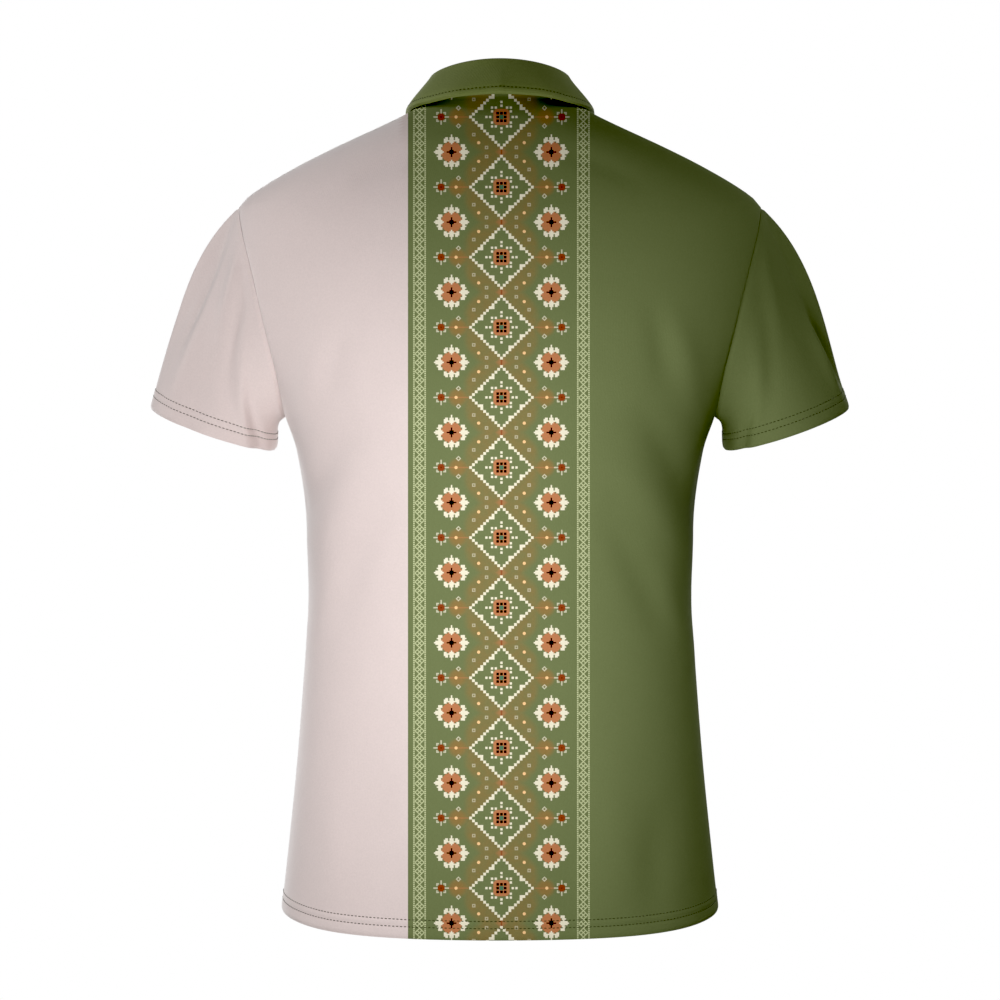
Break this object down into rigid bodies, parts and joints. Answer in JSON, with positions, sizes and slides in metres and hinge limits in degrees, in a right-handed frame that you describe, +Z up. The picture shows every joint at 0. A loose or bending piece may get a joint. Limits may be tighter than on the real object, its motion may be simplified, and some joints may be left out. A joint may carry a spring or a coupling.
{
  "type": "zip polo shirt",
  "caption": "Short-sleeved polo shirt in two colours with a fold-over collar, a short front zip and a printed band down the back, filled out as worn.",
  "frame": {"origin": "middle of the neck, level with the points where the shoulder seams meet the collar", "axes": "+Z up along the body, +Y out of the back, the front faces -Y, +X to the wearer's left"},
  "size_m": [0.615, 0.2447, 0.7378],
  "materials": {
    "knit_back": "smooth knit, pale on one half and olive green on the other, with a printed band",
    "knit_front": "smooth knit, pale on one half and olive green on the other",
    "knit_pale": "smooth matt knit, pale pinkish beige",
    "knit_green": "smooth matt knit, olive green",
    "collar_knit": "firm matt knit, dark olive green",
    "sewing_thread": "spun polyester thread",
    "zip_tape": "woven tape",
    "zip_metal": "brushed nickel plate"
  },
  "bodies": {
    "shirt": {"back": "knit_back", "front": "knit_front", "sleeve_left": "knit_pale", "sleeve_right": "knit_green", "collar_stand": "collar_knit", "collar_leaf": "collar_knit", "zip_tape_left": "zip_tape", "zip_tape_right": "zip_tape", "zip_slider": "zip_metal", "zip_stop": "zip_metal"},
    "pull_tab": {"zip_pull_tab": "zip_metal"}
  },
  "joints": [
    {"name": "pull_tab_hinge", "type": "hinge", "parent": "shirt", "child": "pull_tab", "pos_m": [0, -0.08017, -0.08506], "axis": [-1, 0, 0], "range_deg": [0, 140]}
  ]
}
